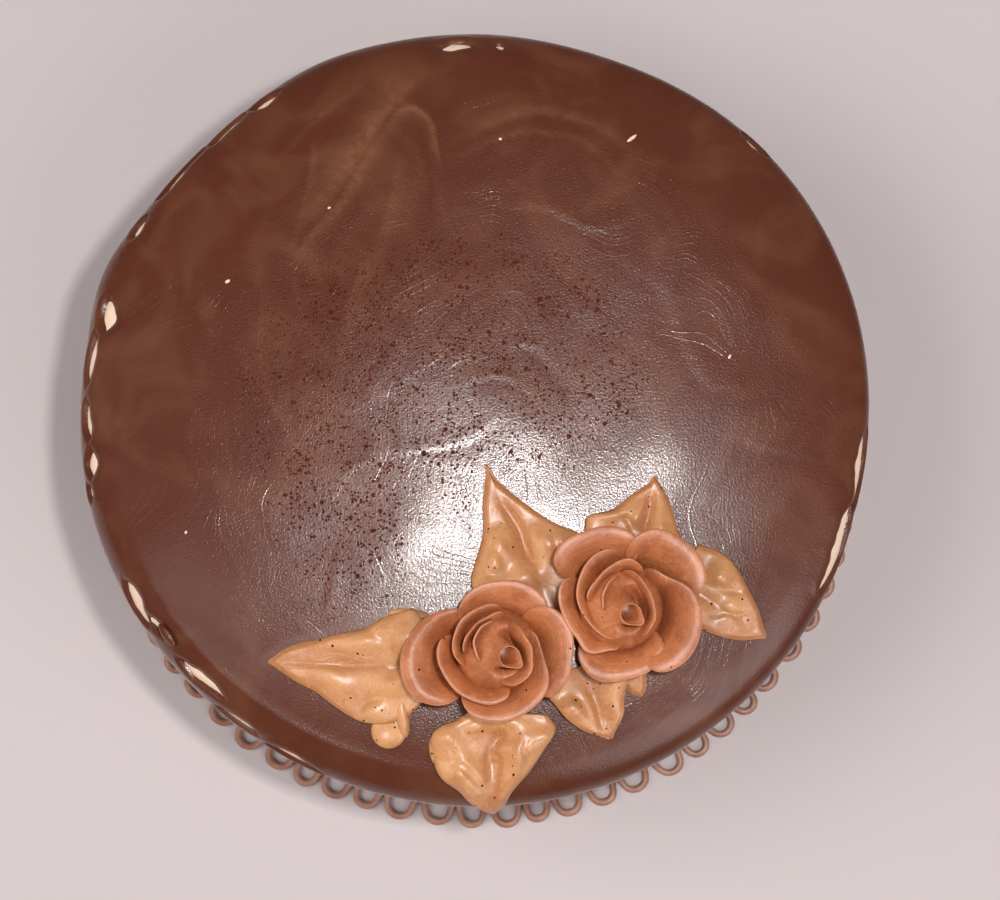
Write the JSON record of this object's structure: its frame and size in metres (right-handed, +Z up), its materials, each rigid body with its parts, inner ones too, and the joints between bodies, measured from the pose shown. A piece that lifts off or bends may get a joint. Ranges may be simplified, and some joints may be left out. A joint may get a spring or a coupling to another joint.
{
  "type": "chocolate mud cake",
  "caption": "Round uncut chocolate mud cake with poured dark ganache, a piped loop border round the foot and piped roses with leaves near the front edge.",
  "frame": {"origin": "centre of the circle that the piped border makes on the surface the cake stands on", "axes": "+Z up out of the cake's top, -Y towards the side where the roses sit, +X to the right when that side is at the front"},
  "size_m": [0.2326, 0.2326, 0.0946],
  "materials": {
    "pale_coat": "pale cream coat under the ganache, soft and matte, seen in thin bare slivers at the shoulder",
    "dark_ganache": "poured dark chocolate ganache, satin to glossy, with pin-prick bubbles, faint swirls and a greyish sheen",
    "border_ganache": "piped milk-brown ganache string, satin",
    "rose_cream": "piped milk-chocolate cream, satin, paler at the thin petal rims",
    "leaf_cream": "piped caramel-coloured cream, glossy, with fine lengthwise streaks and dark specks"
  },
  "bodies": {
    "root": {"cake_body": "pale_coat", "ganache": "dark_ganache", "piped_border": "border_ganache", "rose_right_bud": "rose_cream", "rose_left_bud": "rose_cream", "rose_right_petal_1": "rose_cream", "rose_right_petal_2": "rose_cream", "rose_right_petal_3": "rose_cream", "rose_right_petal_4": "rose_cream", "rose_right_petal_5": "rose_cream", "rose_right_petal_6": "rose_cream", "rose_right_petal_7": "rose_cream", "rose_right_petal_8": "rose_cream", "rose_right_petal_9": "rose_cream", "rose_left_petal_1": "rose_cream", "rose_left_petal_2": "rose_cream", "rose_left_petal_3": "rose_cream", "rose_left_petal_4": "rose_cream", "rose_left_petal_5": "rose_cream", "rose_left_petal_6": "rose_cream", "rose_left_petal_7": "rose_cream", "rose_left_petal_8": "rose_cream", "rose_left_petal_9": "rose_cream", "leaf_left": "leaf_cream", "leaf_back": "leaf_cream", "leaf_back_right": "leaf_cream", "leaf_right": "leaf_cream", "leaf_front_right": "leaf_cream", "leaf_scrap": "leaf_cream", "leaf_front": "leaf_cream"}
  },
  "joints": []
}
